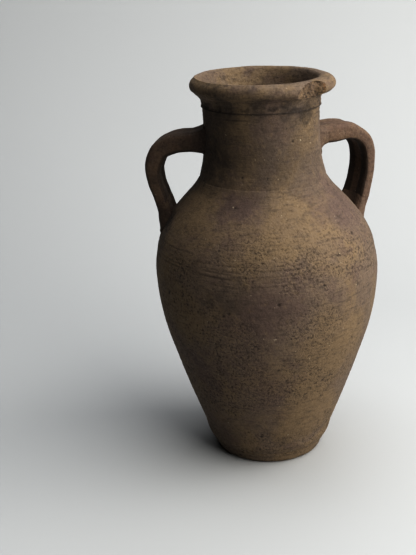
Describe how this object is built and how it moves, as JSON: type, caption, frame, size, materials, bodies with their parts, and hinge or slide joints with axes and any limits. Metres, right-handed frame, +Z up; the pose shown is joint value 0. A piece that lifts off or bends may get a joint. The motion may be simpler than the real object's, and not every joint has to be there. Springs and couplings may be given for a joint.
{
  "type": "amphora vase",
  "caption": "Rustic earthenware amphora vase with a narrow foot, swelling shoulder, flared lip and two strap handles on the neck.",
  "frame": {"origin": "centre of the flat foot, on the surface the vase stands on", "axes": "+Z up along the vase's axis, X across the two handles with handle_left on -X (it stands 14 degrees and handle_right 22 degrees behind the X axis, towards +Y), -Y towards the front with the chipped lip"},
  "size_m": [0.2135, 0.2005, 0.35],
  "materials": {
    "body_clay": "unglazed, matt, smoke-darkened umber brown with ochre and purple-grey clouds",
    "handle_clay": "unglazed, matt, hand-drawn straps, darker brown",
    "join_clay": "unglazed, matt, smeared joining clay"
  },
  "bodies": {
    "root": {"base_disc": "body_clay", "lower_body": "body_clay", "upper_body": "body_clay", "neck": "body_clay", "rim": "body_clay", "handle_left": "handle_clay", "handle_right": "handle_clay", "neck_wad_left": "join_clay", "neck_wad_right": "join_clay", "shoulder_wad_left": "join_clay", "shoulder_wad_right": "join_clay"}
  },
  "joints": []
}
